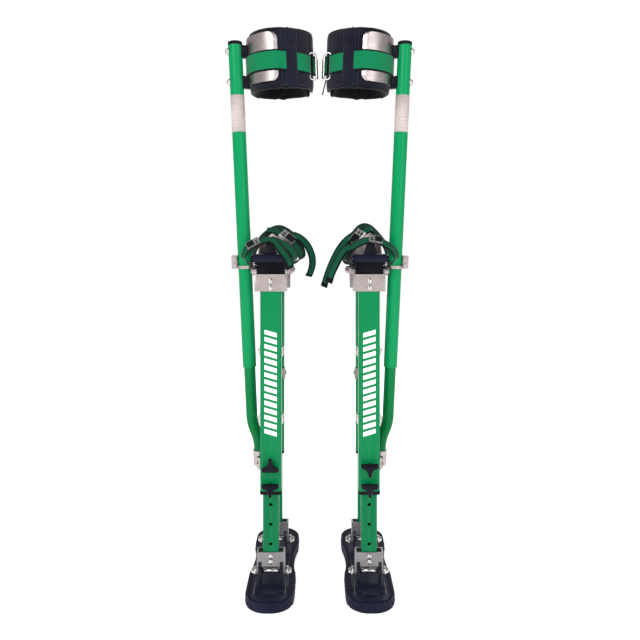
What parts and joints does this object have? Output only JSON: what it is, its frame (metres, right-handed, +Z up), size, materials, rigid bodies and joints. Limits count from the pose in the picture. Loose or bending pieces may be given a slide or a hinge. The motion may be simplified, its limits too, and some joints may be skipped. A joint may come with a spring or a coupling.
{
  "type": "drywall stilts",
  "caption": "Pair of adjustable walking stilts with parallel sprung struts, level foot plates, rubber soles and padded calf cuffs on leaning leg tubes.",
  "frame": {"origin": "floor level, midway between the two stilts, under the middle of the soles", "axes": "+Z up, toes towards -Y, +X towards the wearer's left stilt"},
  "size_m": [0.3646, 0.315, 1.0902],
  "materials": {
    "rubber_sole": "satin",
    "black_steel": "semi-gloss",
    "green_paint": "gloss",
    "plated_steel": "satin",
    "spring_steel": "satin",
    "black_plastic": "matte",
    "green_webbing": "woven",
    "black_padding": "soft"
  },
  "bodies": {
    "left_base": {"left_sole": "rubber_sole", "left_floor_plate": "black_steel"},
    "left_front_shank": {"left_front_inner_tube": "green_paint", "left_front_foot_yoke": "plated_steel"},
    "left_rear_shank": {"left_rear_inner_tube": "green_paint", "left_rear_foot_yoke": "plated_steel"},
    "left_front_post": {"left_front_outer_tube": "green_paint", "left_front_guide_sleeve": "black_plastic", "left_front_head_yoke": "plated_steel", "left_lower_leg_tube": "green_paint", "left_leg_tube_mounts": "plated_steel", "left_spring_rod": "plated_steel", "left_upper_spring": "spring_steel", "left_lower_spring": "spring_steel"},
    "left_rear_post": {"left_rear_outer_tube": "green_paint", "left_rear_bushing": "black_plastic", "left_rear_head_yoke": "plated_steel", "left_spring_lug": "plated_steel"},
    "left_deck": {"left_foot_plate": "black_steel", "left_foot_pivot_blocks": "black_plastic", "left_heel_bracket": "plated_steel", "left_foot_straps": "green_webbing", "left_strap_buckles": "plated_steel"},
    "left_leg": {"left_upper_leg_tube": "green_paint", "left_calf_band": "plated_steel", "left_calf_pad": "black_padding", "left_calf_strap": "green_webbing", "left_calf_hardware": "plated_steel"},
    "left_upper_lock": {"left_upper_knob": "black_plastic"},
    "left_lower_lock": {"left_lower_knob": "black_plastic"},
    "right_base": {"right_sole": "rubber_sole", "right_floor_plate": "black_steel"},
    "right_front_shank": {"right_front_inner_tube": "green_paint", "right_front_foot_yoke": "plated_steel"},
    "right_rear_shank": {"right_rear_inner_tube": "green_paint", "right_rear_foot_yoke": "plated_steel"},
    "right_front_post": {"right_front_outer_tube": "green_paint", "right_front_guide_sleeve": "black_plastic", "right_front_head_yoke": "plated_steel", "right_lower_leg_tube": "green_paint", "right_leg_tube_mounts": "plated_steel", "right_spring_rod": "plated_steel", "right_upper_spring": "spring_steel", "right_lower_spring": "spring_steel"},
    "right_rear_post": {"right_rear_outer_tube": "green_paint", "right_rear_bushing": "black_plastic", "right_rear_head_yoke": "plated_steel", "right_spring_lug": "plated_steel"},
    "right_deck": {"right_foot_plate": "black_steel", "right_foot_pivot_blocks": "black_plastic", "right_heel_bracket": "plated_steel", "right_foot_straps": "green_webbing", "right_strap_buckles": "plated_steel"},
    "right_leg": {"right_upper_leg_tube": "green_paint", "right_calf_band": "plated_steel", "right_calf_pad": "black_padding", "right_calf_strap": "green_webbing", "right_calf_hardware": "plated_steel"},
    "right_upper_lock": {"right_upper_knob": "black_plastic"},
    "right_lower_lock": {"right_lower_knob": "black_plastic"}
  },
  "joints": [
    {"name": "left_front_lean", "type": "hinge", "parent": "left_base", "child": "left_front_shank", "pos_m": [0.095, -0.0855, 0.042], "axis": [1, 0, 0], "range_deg": [-14, 14], "stiffness_Nm_per_rad": 250, "deforming": ["left_upper_spring", "left_lower_spring"]},
    {"name": "left_rear_lean", "type": "hinge", "parent": "left_base", "child": "left_rear_shank", "pos_m": [0.095, 0.0455, 0.042], "axis": [1, 0, 0], "range_deg": [-14, 14]},
    {"name": "left_front_height", "type": "slide", "parent": "left_front_shank", "child": "left_front_post", "axis": [0, 0, 1], "range_m": [-0.0381, 0.2667]},
    {"name": "left_rear_height", "type": "slide", "parent": "left_rear_shank", "child": "left_rear_post", "axis": [0, 0, 1], "range_m": [-0.0381, 0.2667]},
    {"name": "left_deck_level", "type": "hinge", "parent": "left_front_post", "child": "left_deck", "pos_m": [0.095, -0.0855, 0.624], "axis": [1, 0, 0], "range_deg": [-14, 14]},
    {"name": "left_leg_height", "type": "slide", "parent": "left_front_post", "child": "left_leg", "axis": [0.0366, -0.0697, 0.9969], "range_m": [-0.045, 0.08]},
    {"name": "left_upper_lock_press", "type": "slide", "parent": "left_front_post", "child": "left_upper_lock", "axis": [0, 1, 0], "range_m": [0, 0.005]},
    {"name": "left_lower_lock_press", "type": "slide", "parent": "left_front_post", "child": "left_lower_lock", "axis": [0, 1, 0], "range_m": [0, 0.005]},
    {"name": "right_front_lean", "type": "hinge", "parent": "right_base", "child": "right_front_shank", "pos_m": [-0.095, -0.0855, 0.042], "axis": [1, 0, 0], "range_deg": [-14, 14], "stiffness_Nm_per_rad": 250, "deforming": ["right_upper_spring", "right_lower_spring"]},
    {"name": "right_rear_lean", "type": "hinge", "parent": "right_base", "child": "right_rear_shank", "pos_m": [-0.095, 0.0455, 0.042], "axis": [1, 0, 0], "range_deg": [-14, 14]},
    {"name": "right_front_height", "type": "slide", "parent": "right_front_shank", "child": "right_front_post", "axis": [0, 0, 1], "range_m": [-0.0381, 0.2667]},
    {"name": "right_rear_height", "type": "slide", "parent": "right_rear_shank", "child": "right_rear_post", "axis": [0, 0, 1], "range_m": [-0.0381, 0.2667]},
    {"name": "right_deck_level", "type": "hinge", "parent": "right_front_post", "child": "right_deck", "pos_m": [-0.095, -0.0855, 0.624], "axis": [1, 0, 0], "range_deg": [-14, 14]},
    {"name": "right_leg_height", "type": "slide", "parent": "right_front_post", "child": "right_leg", "axis": [-0.0366, -0.0697, 0.9969], "range_m": [-0.045, 0.08]},
    {"name": "right_upper_lock_press", "type": "slide", "parent": "right_front_post", "child": "right_upper_lock", "axis": [0, 1, 0], "range_m": [0, 0.005]},
    {"name": "right_lower_lock_press", "type": "slide", "parent": "right_front_post", "child": "right_lower_lock", "axis": [0, 1, 0], "range_m": [0, 0.005]},
    {"name": "stance_width", "type": "slide", "parent": "left_base", "child": "right_base", "axis": [-1, 0, 0], "range_m": [0, 0.25]}
  ],
  "couplings": [
    {"joint": "left_rear_lean", "follows": "left_front_lean", "ratio": 1},
    {"joint": "left_deck_level", "follows": "left_front_lean", "ratio": -1},
    {"joint": "left_rear_height", "follows": "left_front_height", "ratio": 1},
    {"joint": "right_rear_lean", "follows": "right_front_lean", "ratio": 1},
    {"joint": "right_deck_level", "follows": "right_front_lean", "ratio": -1},
    {"joint": "right_rear_height", "follows": "right_front_height", "ratio": 1}
  ]
}
